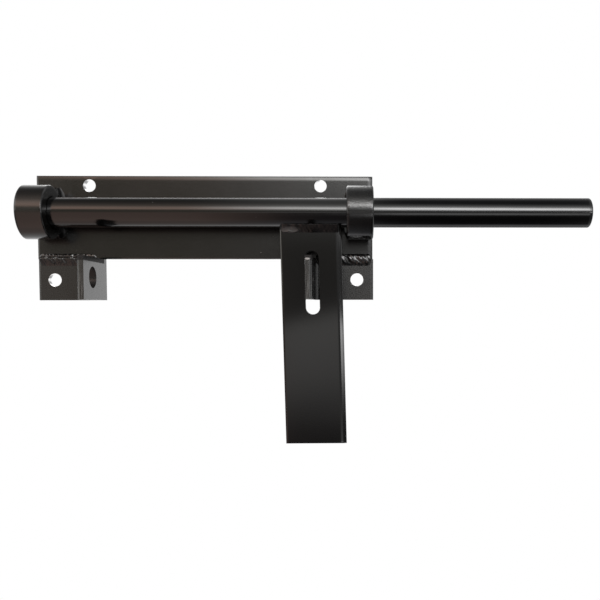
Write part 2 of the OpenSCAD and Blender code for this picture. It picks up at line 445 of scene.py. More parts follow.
@dataclass(frozen=True)
class EarPaint(Paint):
    """The ears' paint, with painted sheen on the flange's front edge and painted shade on its top
    and in the padlock hole.

    Light upright streaks are painted sheen on the flange's front edge, fewer towards its top,
    which is left darker as painted shade. A dark, dull coat is painted shade on the flange's top,
    under the plate's foot, and on the padlock hole's wall.
    """

    # Painted sheen: a light colour in upright streaks on the flange's front edge
    STREAK_SHEEN = (0.05, 0.05, 0.048, 1)
    STREAKS = (1300.0, 2.0)
    STREAK_RUN = (1.0, 0.2, 0.06)
    STREAK_EDGE = (0.35, 0.75)
    # The sheen fades towards the flange's top, which stays darker as painted shade
    STREAK_FADE = (EAR_HIGH.z - 8 * MM, EAR_HIGH.z - 24 * MM, 0.25, 1.0)
    STREAK_DEPTH = 2.3 * MM
    # Painted shade: a dark band on the flange's top, under the plate's foot
    SHADE_BAND = (EAR_HIGH.z - 4 * MM, EAR_HIGH.z - 3.2 * MM)
    SHADE_BAND_FRONT = -EAR_T - 0.3 * MM
    # Painted shade on the padlock hole's wall
    BORE_R = 8.05 * MM
    BORE_SHARE = 0.7
    # The dark, dull coat that paints this shade, and how much of it is laid
    SHADE_SHARE = 0.88
    PAINTED_SHADE = {"Base Color": (0.012, 0.011, 0.011, 1), "Roughness": 0.8,
                            "Specular IOR Level": 0.1}

    def tint(self, g: Graph, base: Socket) -> Socket:
        """Paints sheen in light, upright streaks on the flange's front edge, fewer towards its
        top.

        Args:
            g: The graph to write in.
            base: The paint's colour.

        Returns:
            The colour with painted sheen and the painted highlight.
        """
        # Painted sheen: light upright streaks on the flange's front edge, fewer near its top
        streaks = g.noise(g.stretch(g.place, self.STREAK_RUN), *self.STREAKS)
        streaks = g.spread(streaks, *self.STREAK_EDGE)
        streaks = g.times(streaks, g.below(g.y, EAR_LOW.y + self.STREAK_DEPTH))
        streaks = g.times(streaks, g.spread(g.z, *self.STREAK_FADE))
        return super().tint(g, g.mix(streaks, base, self.STREAK_SHEEN))

    def cover(self, g: Graph, surface: Socket) -> Socket:
        """Paints shade, a dark and dull coat, on the flange's top and the padlock hole's wall, but
        not under the painted highlight.

        Args:
            g: The graph to write in.
            surface: The painted shader.

        Returns:
            The shader with the painted shade and the bare walls.
        """
        # Painted shade: the flange's top band and the padlock hole's wall get a dark, dull coat
        shade_band = g.times(g.spread(g.z, *self.SHADE_BAND), g.below(g.y, self.SHADE_BAND_FRONT))
        far = g.length(g.minus(g.y, PADLOCK_HOLE[0]), g.minus(g.z, PADLOCK_HOLE[1]))
        bore = g.times(g.below(far, self.BORE_R), self.BORE_SHARE)
        share = g.times(g.math("MAXIMUM", shade_band, bore), self.SHADE_SHARE)
        # The painted highlight is kept clear of the painted shade
        share = g.times(share, g.minus(1.0, self.painted_highlight.mask(g)))
        dark_shade = g.add("ShaderNodeBsdfPrincipled", self.PAINTED_SHADE).outputs[0]
        return g.blend(share, super().cover(g, surface), dark_shade)


@dataclass(frozen=True)
class Finishes:
    """The latch's finishes, one for each way that its steel was worked."""

    plate: Paint = Paint(
        "satin_plate_coat", (0.0014, 0.0014, 0.0012), 0.19, wave=0.15, hole=UPPER_HOLES,
        hole_r=4.8 * MM)
    # The ears' paint carries a painted highlight on the right flange's top corner
    ear: Paint = EarPaint(
        "satin_ear_coat", (0.003, 0.0028, 0.0025), 0.27, wave=0.2, grain=Grain.ALONG_Z,
        grain_depth=0.5, hole=LOWER_HOLES, hole_r=5.06 * MM,
        painted_highlight=PaintedHighlight(0.25, EAR_LOW.x + 1.8 * MM, EAR_HIGH.z - 2.7 * MM, 3 * MM,
                    EAR_LOW.y + 0.8 * MM))
    left_ring: Paint = Paint(
        "turned_ring_coat", (0.002, 0.0018, 0.0017), 0.17, grain=Grain.ALONG_X,
        grain_depth=0.3)
    right_ring: Paint = Paint(
        "scuffed_ring_coat", (0.002, 0.002, 0.002), 0.17, grain=Grain.ALONG_X,
        grain_depth=0.2, scuff=1.8)
    bar: Paint = Paint(
        "gloss_bar_coat", (0.0008, 0.0008, 0.0008), 0.13, wave=0.15, peel=0.3,
        grain=Grain.ALONG_X, grain_depth=0.25)
    handle: Paint = Paint(
        "satin_handle_coat", (0.001, 0.0009, 0.0009), 0.075, mottle=0.015, wave=0.05,
        peel=0.15)
    weld: Paint = Paint(
        "gloss_ring_weld_coat", (0.002, 0.002, 0.002), 0.15, peel=0.8, edge=0.1 * MM)
    ear_weld: Paint = Paint(
        "gloss_ear_weld_coat", (0.003, 0.003, 0.003), 0.17, peel=0.8, edge=0.1 * MM)
    # The handle beads' paint carries a painted highlight on their left end
    handle_weld: Paint = Paint(
        "satin_handle_weld_coat", (0.001, 0.001, 0.001), 0.2, peel=0.3, edge=0.1 * MM,
        painted_highlight=PaintedHighlight(0.035, HANDLE_WELD_LOW.x + 7.5 * MM, HANDLE_WELD_LOW.z + 2 * MM, 9.5 * MM))


def dress(piece: Piece, material: Material, slot: Slot) -> None:
    """Gives a piece its finish.

    Args:
        piece: The object to dress.
        material: Its finish.
        slot: Not used.
    """
    piece.data.materials.clear()
    piece.data.materials.append(material)
    LOG.info("%s wears %s", piece.name, material.name)


@dataclass(frozen=True)
class Turning:
    """A piece turned about the bar's axis, with slow waves in its surface.

    The waves have a length along the bar in metres, and a share of a wave length per
    radius around it.
    """

    WAVE_LENGTH = 90 * MM
    WAVE_ROUND = 0.35

    name: str
    around: int
    closed: bool
    wobble: float
    seed: int

    def turn(self, profile: list) -> Piece:
        """Turns a profile; that of a closed piece is a ring, others get end caps.

        Args:
            profile: Points (x, radius) along the turned surface, in metres.

        Returns:
            The turned object.
        """
        angle = np.arange(self.around) * 2 * math.pi / self.around
        x, r = (np.array([p[i] for p in profile])[:, None] for i in (0, 1))
        turns = np.sin(angle)[None, :] * self.WAVE_ROUND
        wave = Ripples(self.seed).at(x / self.WAVE_LENGTH, turns)
        r = r + self.wobble * wave * (r > 0.5 * BAR_R)
        y, z = BAR_Y - r * np.cos(angle), BAR_Z + r * np.sin(angle)
        points = np.stack([np.broadcast_to(x, r.shape), y, z], -1).reshape(-1, 3)
        if not self.closed:
            ends = [(profile[0][0], BAR_Y, BAR_Z), (profile[-1][0], BAR_Y, BAR_Z)]
            points = np.vstack([points, ends])
        faces = tube_faces(len(profile), self.around, self.closed)
        return add_mesh(self.name, points, [tuple(reversed(f)) for f in faces], TURNED_SHARP)


def arc(x: float, up: float, radius: float, start: float, stop: float) -> list:
    """Lists the points (x, radius) of a rounded corner, in six steps."""
    turns = np.radians(np.linspace(start, stop, 7))
    return [(x + radius * math.cos(t), up + radius * math.sin(t)) for t in turns]


@dataclass
class SlideBar:
    """The round bar that slides in the guide rings."""

    tail: float = BAR_LOW.x
    nose: float = BAR_HIGH.x
    rim: float = 1.2 * MM
    turning: Turning = Turning("round_bar", 192, False, 0.012 * MM, 3)
    step: float = 5 * MM
    face_rings: tuple[float, float, int] = (0.15, 0.95, 9)

    def build(self, finishes: Finishes) -> None:
        """Turns the bar and hangs it on its body.

        Args:
            finishes: The latch's finishes.
        """
        centre = BAR_R - self.rim
        face = np.linspace(*self.face_rings) * centre
        profile = [(self.tail, r) for r in face]
        profile += arc(self.tail + self.rim, centre, self.rim, 180, 90)
        runs = np.arange(self.tail + 2 * self.rim, self.nose - 2 * self.rim, self.step)
        profile += [(x, BAR_R) for x in runs]
        profile += arc(self.nose - self.rim, centre, self.rim, 90, 0)
        profile += [(self.nose, r) for r in face[::-1]]
        bar = self.turning.turn(profile)
        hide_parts("slide_bar")
        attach(bar, Body.BAR.value)
        dress(bar, finishes.bar.build(), Slot.BAR)


@dataclass
class GuideRing:
    """A ring of thick tube that guides the bar."""

    name: str
    node: str
    seed: int
    width: float = RING_HIGH.x - RING_LOW.x
    bore: float = BAR_R + 0.1 * MM
    bore_chamfer: float = 0.5 * MM
    chamfer: float = 0.7 * MM
    soft: float = 0.22 * MM
    around: int = 224
    wobble: float = 0.02 * MM
    step: float = 1.5 * MM

    def corners(self) -> list:
        """Lists the ring's section, going round it.

        Returns:
            Points (x, radius).
        """
        x0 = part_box(self.node)[0].x
        x1 = x0 + self.width
        b, c, inner = self.bore_chamfer, self.chamfer, self.bore
        return [(x0, inner + b), (x0, RING_R - c), (x0 + c, RING_R), (x1 - c, RING_R),
                (x1, RING_R - c), (x1, inner + b), (x1 - b, inner), (x0 + b, inner)]

    def section(self) -> list:
        """Rounds the section's corners a little and splits its long sides.

        Returns:
            Points (x, radius) of the section, closed.
        """
        corners = [Vector(c) for c in self.corners()]
        points = []
        for i, corner in enumerate(corners):
            before, after = corners[i - 1], corners[(i + 1) % len(corners)]
            a = corner + (before - corner).normalized() * self.soft
            b = corner + (after - corner).normalized() * self.soft
            for t in np.linspace(0, 1, 4):
                points.append(tuple((1 - t) ** 2 * a + 2 * t * (1 - t) * corner + t * t * b))
            count = max(2, int((after - corner).length / self.step))
            points += [tuple(corner.lerp(after, t)) for t in np.linspace(0, 1, count)[1:-1]]
        return points

    def build(self, paint: Paint) -> None:
        """Turns the ring and hangs it on the base.

        Args:
            paint: The ring's finish.
        """
        turning = Turning(self.name, self.around, True, self.wobble, self.seed)
        ring = turning.turn(self.section())
        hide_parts(self.node)
        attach(ring, Body.BASE.value)
        dress(ring, paint.build(), Slot.RING)


@dataclass(frozen=True)
class Slotted:
    """A round hole or an upright slot through a flat bar, in the bar's own plane."""

    across: float
    up: float
    radius: float
    reach: float = 0.0
    steps: int = 32
    rungs: int = 23

    def loop(self, grow: float) -> Array:
        """Walks round the opening, clockwise as seen from the front.

        Args:
            grow: How far outside the opening's edge to walk.

        Returns:
            Points (across, up), one row each.
        """
        half = np.linspace(0, math.pi, self.steps + 1)
        r = self.radius + grow
        if self.reach:
            above = np.stack([-r * np.cos(half), self.reach + r * np.sin(half)], 1)
            side = np.linspace(self.reach, -self.reach, self.rungs + 2)[1:-1]
            right = np.stack([np.full(self.rungs, r), side], 1)
            ring = np.vstack([above, right, -above, -right])
        else:
            turn = np.concatenate([half[:-1], math.pi + half[:-1]])
            ring = np.stack([-r * np.cos(turn), r * np.sin(turn)], 1)
        return ring + (self.across, self.up)

    def holds(self, points: Array, margin: float) -> Array:
        """Tells which points (across, up) lie in the opening or within a margin of it."""
        across, up = (points - (self.across, self.up)).T
        return np.hypot(across, up - np.clip(up, -self.reach, self.reach)) < self.radius + margin


@dataclass
class FlatBar:
    """A length of hot-rolled flat bar with openings, whose edges fall away gently.

    It is drawn in its own plane, where across runs along X and up along Z, and its
    front faces -Y. A roll is (width, depth) of the fall at an edge, and top_left is the
    share of the top's fall at the left end. shear is how far a leaning bar moves across
    for each metre up. cope is the radius of the round bar that its top is cut to.
    """

    NEAR_EDGE = (0.0, 0.25, 0.55, 0.9, 1.3, 1.7, 2.2, 2.7, 3.2, 3.8, 5.0)
    CORNER = (25, 50, 75, 90)
    WALL = (0.25, 0.5, 0.75)
    FALL_POWER = 1.5
    CLEAR_OF_RIM = 1.4

    name: str
    left: float
    right: float
    foot: float
    top: float
    front: float
    rear: float
    openings: tuple[Slotted, ...]
    left_roll: Pair = (1.6 * MM, 0.25 * MM)
    right_roll: Pair = (3.6 * MM, 0.8 * MM)
    foot_roll: Pair = (1.4 * MM, 0.15 * MM)
    top_roll: Pair = (3.6 * MM, 0.55 * MM)
    top_left: float = 0.35
    rounding: float = 0.4 * MM
    rim: float = 0.22 * MM
    step: float = 6 * MM
    shear: float = 0.0
    shear_at: float = 0.0
    cope: float = 0.0
    holds_flat: Pair = (0.06 * MM, 0.5 * MM)

    def lines(self, low: float, high: float) -> Array:
        """Places grid lines between two edges, close together near them.

        Args:
            low: The first edge.
            high: The second edge.

        Returns:
            The lines' places.
        """
        near = np.array(self.NEAR_EDGE) * MM + self.rounding
        count = max(2, int((high - low) / self.step))
        between = np.linspace(low + near[-1], high - near[-1], count)[1:-1]
        return np.concatenate([low + near, between, high - near[::-1]])

    def fall(self, points: Array) -> Array:
        """Works out how far the faces fall away near the edges.

        Args:
            points: Points (across, up), one row each.

        Returns:
            The fall at each point.
        """
        total = np.zeros(len(points))
        across, up = points.T
        edges = [(across - self.left, self.left_roll), (self.right - across, self.right_roll),
                 (up - self.foot, self.foot_roll)]
        if not self.cope:
            run = (across - self.left) / (self.right - self.left)
            share = self.top_left + (1 - self.top_left) * run
            edges.append((self.top - up, (self.top_roll[0], self.top_roll[1] * share)))
        for far, (width, depth) in edges:
            total += depth * np.clip(1 - far / width, 0, 1) ** self.FALL_POWER
        return total

    def sketch(self) -> tuple[Array, list[list[int]], list[tuple[int, int, int]]]:
        """Fills the face with triangles.

        Returns:
            The points, the outline and each opening as vertex numbers, and the triangles.
        """
        us, vs = self.lines(self.left, self.right), self.lines(self.foot, self.top)
        if self.cope:
            vs[-1] = self.top
        rim = [(u, vs[0]) for u in us[:-1]] + [(us[-1], v) for v in vs[:-1]]
        rim += [(u, vs[-1]) for u in us[:0:-1]] + [(us[0], v) for v in vs[:0:-1]]
        inner = np.array([(u, v) for u in us[1:-1] for v in vs[1:-1]])
        for opening in self.openings:
            margin = self.rim + self.CLEAR_OF_RIM * self.holds_flat[-1]
            inner = inner[~opening.holds(inner, margin)]
        rings = [np.array(rim)] + [opening.loop(self.rim) for opening in self.openings]
        rings += [opening.loop(self.rim + out) for opening in self.openings
                  for out in self.holds_flat]
        starts = np.cumsum([0] + [len(ring) for ring in rings])
        loops = [list(range(starts[i], starts[i + 1])) for i in range(len(rings))]
        edges = [(loop[i - 1], loop[i]) for loop in loops for i in range(len(loop))]
        loops = loops[:1 + len(self.openings)]
        given = [Vector(p) for p in np.vstack([*rings, inner])]
        made, _, faces, kept, _, _ = delaunay_2d_cdt(given, edges, [], 0, MERGE)
        number = {old: new for new, olds in enumerate(kept) for old in olds}
        points = np.array([tuple(p) for p in made])
        triangles = []
        for face in faces:
            middle = points[list(face)].mean(0)[None]
            if not any(opening.holds(middle, self.rim - SLACK)[0] for opening in self.openings):
                a, b, c = (points[i] for i in face)
                turned = (b[0] - a[0]) * (c[1] - a[1]) - (b[1] - a[1]) * (c[0] - a[0])
                triangles.append(tuple(face) if turned > 0 else tuple(reversed(face)))
        return points, [[number[i] for i in loop] for loop in loops], triangles

    def walls(self, points: Array, outline: bool, grow: Array) -> list[Array]:
        """Works out the rings that lead round an edge from the front to the rear.

        Args:
            points: The edge's points (across, up) on the face.
            outline: Whether the edge is the outline, not an opening.
            grow: Directions (across, up) out of the steel at each point.

        Returns:
            Rings of points (across, depth, up).
        """
        size = self.rounding if outline else self.rim
        fall = self.fall(points)
        low, high = self.front + fall, self.rear - fall
        turns = np.radians(self.CORNER)
        steps = [(size * math.sin(t), low + size * (1 - math.cos(t))) for t in turns]
        steps += [(size, low + size + (high - low - 2 * size) * share) for share in self.WALL]
        steps += [(size * math.sin(t), high - size * (1 - math.cos(t))) for t in turns[::-1]]
        rings = []
        for out, depth in steps:
            place = points + grow * out
            if outline and self.cope:
                coped = points[:, 1] > self.top - SLACK
                arc_up = BAR_Z - np.sqrt(self.cope ** 2 - (depth - BAR_Y) ** 2)
                place[:, 1] = np.where(coped, arc_up, place[:, 1])
            rings.append(np.stack([place[:, 0], depth, place[:, 1]], 1))
        return rings

    def build(self) -> Piece:
        """Makes the flat bar's mesh.

        Returns:
            The new object.
        """
        flat, loops, triangles = self.sketch()
        fall = self.fall(flat)
        points = [np.stack([flat[:, 0], depth, flat[:, 1]], 1)
                  for depth in (self.front + fall, self.rear - fall)]
        count = len(flat)
        faces = list(triangles) + [tuple(count + i for i in reversed(t)) for t in triangles]
        total = 2 * count
        for number, loop in enumerate(loops):
            edge = flat[loop]
            if number == 0:
                low, high = edge.min(0) + MERGE, edge.max(0) - MERGE
                grow = (edge > high) * 1.0 - (edge < low)
            else:
                grow = (self.openings[number - 1].loop(0.0) - edge) / self.rim
            rings = self.walls(edge, number == 0, grow)
            rows = [loop] + [[total + r * len(loop) + i for i in range(len(loop))]
                             for r in range(len(rings))]
            rows.append([count + i for i in loop])
            total += len(rings) * len(loop)
            points += rings
            for upper, lower in zip(rows, rows[1:]):
                for i in range(len(loop)):
                    faces.append((upper[i - 1], lower[i - 1], lower[i], upper[i]))
        solid = np.vstack(points)
        solid[:, 0] -= (solid[:, 2] - self.shear_at) * self.shear
        return add_mesh(self.name, solid, faces, ROLLED_SHARP)


@dataclass
class BackPlate:
    """The back plate, a length of flat bar with two bolt holes."""

    hole_r: float = 4.75 * MM
    rounding: float = 0.85 * MM

    def build(self, finishes: Finishes) -> None:
        """Rolls the plate, drills it and hangs it on the base.

        Args:
            finishes: The latch's finishes.
        """
        x, z = UPPER_HOLES
        holes = tuple(Slotted(side * x, z, self.hole_r) for side in (-1, 1))
        plate = FlatBar("rolled_plate", PLATE_LOW.x, PLATE_HIGH.x, PLATE_LOW.z, PLATE_HIGH.z,
                        PLATE_LOW.y, PLATE_HIGH.y, holes, rounding=self.rounding).build()
        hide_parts("back_plate")
        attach(plate, Body.BASE.value)
        dress(plate, finishes.plate.build(), Slot.PLATE)


@dataclass
class PadlockEars:
    """The two ears, whose CAD solids are shown as they are."""

    nodes: tuple[str, str] = ("left_padlock_ear", "right_padlock_ear")

    def build(self, finishes: Finishes) -> None:
        """Paints the ears.

        Args:
            finishes: The latch's finishes.
        """
        paint = finishes.ear.build()
        for node in self.nodes:
            dress(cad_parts[node], paint, Slot.EAR)


@dataclass
class Handle:
    """The slotted flat handle that hangs from the bar and leans a little."""

    width: float = 46.1 * MM
    lean: float = math.radians(1.35)
    slot_r: float = 5.25 * MM
    slot_end: float = 5.55 * MM
    slot_shift: float = 4.05 * MM
    slot_right: float = 0.17 * MM
    slot_above: float = 5 * MM
    slot_below: float = 11.5 * MM
    clear: float = 0.1 * MM
    left_roll: Pair = (1.3 * MM, 0.3 * MM)
    right_roll: Pair = (3.9 * MM, 0.85 * MM)

    def build(self, finishes: Finishes) -> None:
        """Rolls the handle, slots it, copes its top and hangs it on its body.

        Args:
            finishes: The latch's finishes.
        """
        middle = EAR_LOW.x + self.slot_shift
        half = self.width / 2 / math.cos(self.lean)
        high, low = PLATE_LOW.z + self.slot_above, EAR_LOW.z - self.slot_below
        slot = Slotted(middle + self.slot_right, (high + low) / 2, self.slot_r,
                       (high - low) / 2 - self.slot_end)
        cope = BAR_R + self.clear
        depth = HANDLE_HIGH.y - HANDLE_LOW.y
        top = BAR_Z - math.sqrt(cope ** 2 - (depth / 2) ** 2)
        handle = FlatBar("rolled_handle", middle - half, middle + half, HANDLE_LOW.z, top,
                         HANDLE_LOW.y, HANDLE_HIGH.y, (slot,), left_roll=self.left_roll,
                         right_roll=self.right_roll, shear=math.tan(self.lean),
                         shear_at=(PLATE_LOW.z + EAR_LOW.z) / 2, cope=cope).build()
        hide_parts("handle")
        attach(handle, Body.HANDLE.value)
        dress(handle, finishes.handle.build(), Slot.HANDLE)


@dataclass(frozen=True)
class Seam:
    """The corner that a bead fills, between a flat face and a round or flat one.

    centre and radius are those of the ripples in the part's source. round_r is the
    radius, about the bar's axis, of the round face, or 0 for a second flat face at
    other_face. into is +1 where the flat face looks forwards. The bead's bed lies as deep
    as sink inside a flat face, and as round_sink inside the round one.
    """

    centre: Pair
    radius: float
    face: float
    root: float
    round_r: float = 0.0
    other_face: float = 0.0
    into: int = 1
    sink: float = 0.3 * MM
    round_sink: float = 0.3 * MM

    def toe(self, face: float, side: int, width: Array) -> Places:
        """Finds the toe on a flat face, on one side of the ripples' centre."""
        full = self.centre[1] + side * math.sqrt(self.radius ** 2 - (face - self.centre[0]) ** 2)
        return np.full_like(width, face), self.root + (full - self.root) * width

    def flat_toe(self, width: Array) -> Places:
        """Finds the toe's y and z on the flat face, from width 0 at the root to 1."""
        side = -1 if self.round_r and self.centre[1] <= self.root else 1
        return self.toe(self.face, side, width)

    def other_toe(self, width: Array) -> Places:
        """Finds the toe's y and z on the other face, from width 0 at the root to 1."""
        return (self.round_place(self.round_r, width) if self.round_r
                else self.toe(self.other_face, -1, width))

    def round_place(self, radius: float, width: Array) -> Places:
        """Finds a place on the round face, or that far from the bar's axis."""
        turn = self.root_turn() + (self.full_turn() - self.root_turn()) * width
        return BAR_Y + radius * np.cos(turn), BAR_Z + radius * np.sin(turn)

    def full_turn(self) -> float:
        """Works out where the ripples leave the round face.

        Returns:
            The angle about the bar.
        """
        dy, dz = self.centre[0] - BAR_Y, self.centre[1] - BAR_Z
        far = math.hypot(dy, dz)
        reach = (self.round_r ** 2 - self.radius ** 2 + far ** 2) / (2 * far)
        way = (1 if dz > 0 else -1) * self.into
        return math.atan2(dz, dy) + math.acos(reach / self.round_r) * way

    def root_turn(self) -> float:
        """Works out where the round face meets the root's height or the flat face.

        Returns:
            The angle about the bar.
        """
        if self.round_r >= RING_R:
            return math.asin((self.root - BAR_Z) / self.round_r)
        return -math.acos(max(-1.0, min(1.0, (self.face - BAR_Y) / self.round_r)))

    def bed(self, width: Array, points: int) -> Places:
        """Walks back from the other toe to the flat one, just inside the steel.

        Args:
            width: Each row's width, 0 to 1, as a column.
            points: Number of points on each of the two faces.

        Returns:
            The walk's y and z, one row per row of the bead.
        """
        shares = np.linspace(1, 0, points)[None, :]
        flat_y, flat_z = self.flat_toe(width * shares[:, ::-1])
        if self.round_r:
            other_y, other_z = self.round_place(self.round_r - self.round_sink, width * shares)
        else:
            other_y, other_z = self.other_toe(width * shares)
            other_y = other_y + self.sink * self.into
        return np.hstack([other_y, flat_y + self.sink * self.into]), np.hstack([other_z, flat_z])


@dataclass
class WeldBead:
    """A weld bead along X, with crescent ripples, scalloped toes and rounded ends.

    Beyond calm_after, in metres from the bead's start, the ripples fade out. fine and
    scallop are shares of the ripples' depth and of the bead's width. What ends in ROUND
    is how many wave lengths a noise has across the bead.
    """

    BED_POINTS = 6
    CALM_RUN = 3 * MM
    CALM_SKIN = 0.8
    CALM_TOES = 0.7
    SKEW = 1.7
    LEVEL = 0.6
    WANDER = 0.22
    WANDER_PITCHES = 4
    WANDER_ROUND = 0.4
    FINE_PITCHES = 0.27
    LUMP_LENGTH = 5 * MM
    LUMPS_ROUND = 1.2
    GRIT_LENGTH = 1.6 * MM
    GRIT_ROUND = 4
    LIP_AT, LIP_SWAY, LIP_WIDTH = 0.24, 0.15, 0.12
    LIP_POWER = 0.6
    LIP_DROP = 0.15
    CUT_AT, CUT_WIDTH = 0.27, 0.045
    DASH_LENGTH = 7 * MM
    DASH_GAIN, DASH_SHARE = 1.6, 0.9
    DRIFT_LENGTH = 11 * MM
    DRIFT = 0.04
    CAP = 0.8
    THINNEST = 0.0009
    CROWN_POWER = 0.8
    OTHER_SCALLOP = 0.4

    name: str
    node: str
    body: Body
    seam: Seam
    start: float
    end: float
    crown: float
    pitch: float
    depth: float
    seed: int
    slant: float = 0.0
    crescent: float = 2 * MM
    scallop: float = 0.08
    fine: float = 0.12
    rough: float = 0.05 * MM
    grit: float = 0.0
    undercut: float = 0.0
    lip: float = 0.0
    swell: float = 0.0
    calm_after: float = 1.0
    across: int = 40
    step: float = 0.28 * MM

    def ripples(self, travel: Array) -> Array:
        """Shapes one ripple after another, each steep at its front."""
        part = np.mod(travel / self.pitch, 1.0)
        lean = self.SKEW * part - (self.SKEW - 1)
        return np.sqrt(np.clip(1 - lean ** 2, 0, 1)) - self.LEVEL

    def calm(self, x: Array, drop: float) -> Array:
        """Fades from 1 down by a share, past the bead's first stretch."""
        return 1 - drop * np.clip((x - self.start - self.calm_after) / self.CALM_RUN, 0, 1)

    def relief(self, x: Array, share: Array) -> Array:
        """Works out how far the bead's skin stands above its plain crown.

        Args:
            x: Places along the bead, as a column.
            share: Places across it, 0 at the flat face's toe, as a row.

        Returns:
            The heights.
        """
        noise, lumps, grains = (Ripples(self.seed), Ripples(self.seed + 50),
                                Ripples(self.seed + 90, 16))
        bow = 4 * share * (1 - share)
        travel = x + self.slant * (share - 0.5) + self.crescent * bow
        wander = noise.at(x / (self.WANDER_PITCHES * self.pitch), share * self.WANDER_ROUND)
        travel = travel + self.WANDER * self.pitch * wander
        calm = self.calm(x, self.CALM_SKIN)
        skin = self.depth * self.ripples(travel) * calm
        finest = np.sin(2 * math.pi * travel / (self.FINE_PITCHES * self.pitch))
        skin = skin + self.fine * self.depth * finest
        skin = skin + self.rough * lumps.at(x / self.LUMP_LENGTH, share * self.LUMPS_ROUND)
        skin = skin + self.grit * grains.at(x / self.GRIT_LENGTH, share * self.GRIT_ROUND)
        if self.lip:
            puddle = np.sin(math.pi * np.mod((x - self.start) / self.pitch, 1.0))
            middle = self.LIP_AT - self.LIP_SWAY * puddle ** self.LIP_POWER
            fold = np.exp(-((share - middle) / self.LIP_WIDTH) ** 2)
            skin = skin + self.lip * (calm - self.LIP_DROP) * fold
        if self.undercut:
            dashes = self.DASH_GAIN * noise.at(x / self.DASH_LENGTH + 3, 0 * share)
            dashes = np.clip(dashes + self.DASH_SHARE, 0, 1)
            groove = np.exp(-((share - self.CUT_AT) / self.CUT_WIDTH) ** 2)
            skin = skin - self.undercut * dashes * groove
        return skin * np.sqrt(bow)

    def toes(self, x: Array, width: Array) -> tuple[Places, Places]:
        """Works out the bead's scalloped toes.

        Args:
            x: Places along the bead, as a column.
            width: The bead's width there, 0 to 1.

        Returns:
            The y and z of the flat face's toe, and those of the other toe.
        """
        drift = Ripples(self.seed + 7).at(x / self.DRIFT_LENGTH, 0 * x) * self.DRIFT
        scallop = self.scallop * self.calm(x, self.CALM_TOES)
        flat = scallop * self.ripples(x - 0.5 * self.slant)
        other = self.OTHER_SCALLOP * scallop * self.ripples(x + 0.5 * self.slant)
        return (self.seam.flat_toe(width * (1 + drift + flat)),
                self.seam.other_toe(width * (1 - drift + other)))

    def surface(self) -> Array:
        """Works out the bead's points, row after row along X.

        Returns:
            An array of rows by vertices around by three.
        """
        rows = int((self.end - self.start) / self.step)
        x = np.linspace(self.start, self.end, rows)[:, None]
        share = ((1 - np.cos(np.linspace(0, math.pi, self.across))) / 2)[None, :]
        inset = np.minimum(x - self.start, self.end - x)
        cap = np.clip(inset / (self.CAP * self.seam.radius), 0, 1)
        width = np.sqrt(np.clip(1 - (1 - cap) ** 2, self.THINNEST, 1))
        (flat_y, flat_z), (other_y, other_z) = self.toes(x, width)
        run_y, run_z = other_y - flat_y, other_z - flat_z
        length = np.maximum(np.hypot(run_y, run_z), SLACK)
        out_y, out_z = -run_z / length, run_y / length
        middle_y = (flat_y + other_y) / 2 - self.seam.face
        middle_z = (flat_z + other_z) / 2 - self.seam.root
        away = out_y * middle_y + out_z * middle_z if self.seam.round_r else -out_y
        flip = np.where(away < 0, -1.0, 1.0)
        bow = 4 * share * (1 - share)
        swell = 1 + self.swell * (2 * (x - self.start) / (self.end - self.start) - 1)
        skin = self.crown * swell * bow ** self.CROWN_POWER + self.relief(x, share)
        rise = skin * width * flip
        back_y, back_z = self.seam.bed(width, self.BED_POINTS)
        y = np.hstack([flat_y + run_y * share + out_y * rise, back_y])
        z = np.hstack([flat_z + run_z * share + out_z * rise, back_z])
        return np.stack([np.broadcast_to(x, y.shape), y, z], -1)

    def build(self, material: Material) -> None:
        """Lays the bead and hangs it on its body.

        Args:
            material: The beads' finish.
        """
        grid = self.surface()
        rows, around, _ = grid.shape
        points = np.vstack([grid.reshape(-1, 3), [grid[0].mean(0), grid[-1].mean(0)]])
        faces = tube_faces(rows, around, False)
        y, z = grid[rows // 2][:, 1:].T
        if np.sum(y * np.roll(z, -1) - np.roll(y, -1) * z) < 0:
            faces = [tuple(reversed(f)) for f in faces]
        bead = add_mesh(self.name, points, faces, BEAD_SHARP)
        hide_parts(self.node)
        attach(bead, self.body.value)
        dress(bead, material, Slot.WELD)


